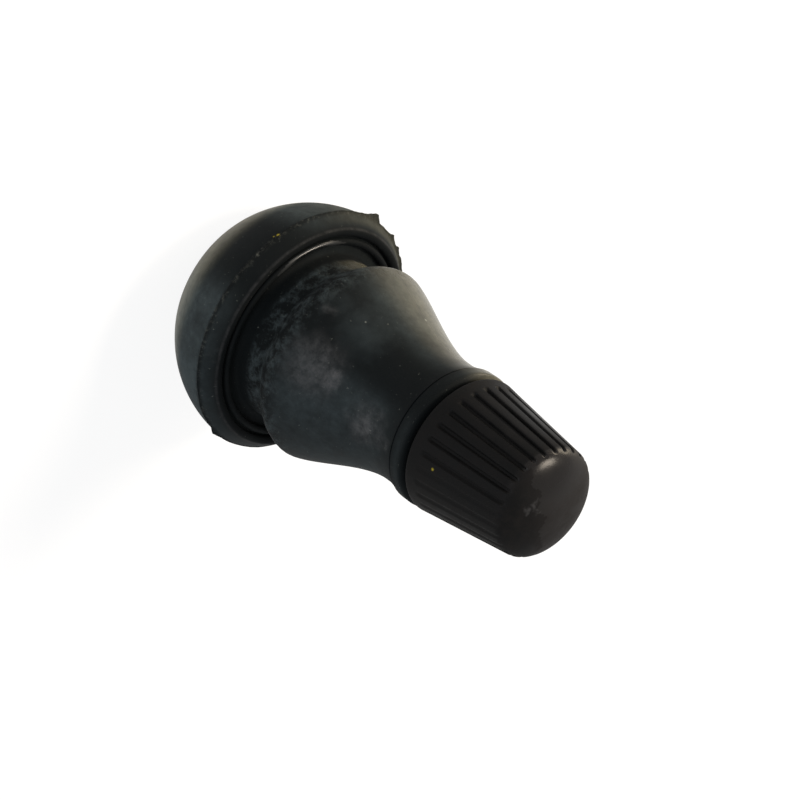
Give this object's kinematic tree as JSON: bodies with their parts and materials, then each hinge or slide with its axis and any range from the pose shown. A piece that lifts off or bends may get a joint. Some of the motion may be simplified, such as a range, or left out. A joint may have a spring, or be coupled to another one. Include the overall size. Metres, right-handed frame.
{
  "type": "tyre valve",
  "caption": "Snap-in rubber tyre valve: domed head, wheel groove and tapered sleeve round a brass stem, with a screw-in spring core and a fluted screw cap.",
  "frame": {"origin": "middle of the flat on the head's domed end, which the valve stands on", "axes": "+Z along the valve's axis, from the head towards the cap"},
  "size_m": [0.0194, 0.0194, 0.0351],
  "materials": {
    "body_rubber": "matt moulded black rubber with a cool grey bloom",
    "stem_brass": "turned",
    "cap_plastic": "satin moulded black plastic",
    "seal_rubber": "matt red-brown rubber",
    "core_brass": "turned",
    "gasket_resin": "smooth red resin",
    "spring_steel": "drawn wire",
    "pin_steel": "drawn and plated",
    "washer_rubber": "matt black rubber"
  },
  "bodies": {
    "valve_body": {"rubber_body": "body_rubber", "stem": "stem_brass"},
    "cap_carrier": {"cap_seal": "seal_rubber"},
    "cap": {"cap": "cap_plastic"},
    "core": {"core_barrel": "core_brass", "barrel_gasket": "gasket_resin", "core_spring": "spring_steel"},
    "core_plug": {"core_plug": "core_brass"},
    "core_pin": {"core_pin": "pin_steel", "core_cup": "core_brass", "seat_washer": "washer_rubber"}
  },
  "joints": [
    {"name": "cap_lift", "type": "slide", "parent": "valve_body", "child": "cap_carrier", "axis": [0, 0, 1], "range_m": [0, 0.00794]},
    {"name": "cap_turn", "type": "hinge", "parent": "cap_carrier", "child": "cap", "pos_m": [0, 0, 0.02492], "axis": [0, 0, 1], "range_deg": [0, 3600]},
    {"name": "core_lift", "type": "slide", "parent": "valve_body", "child": "core", "axis": [0, 0, 1], "range_m": [0, 0.00141]},
    {"name": "core_turn", "type": "hinge", "parent": "core", "child": "core_plug", "pos_m": [0, 0, 0.02595], "axis": [0, 0, 1], "range_deg": [0, 720]},
    {"name": "pin_press", "type": "slide", "parent": "core", "child": "core_pin", "axis": [0, 0, 1], "range_m": [-0.001, 0], "stiffness_N_per_m": 400, "deforming": ["core_spring"]}
  ],
  "couplings": [
    {"joint": "cap_turn", "follows": "cap_lift", "rad_per_m": 7915.8},
    {"joint": "core_turn", "follows": "core_lift", "rad_per_m": 8905.3}
  ]
}
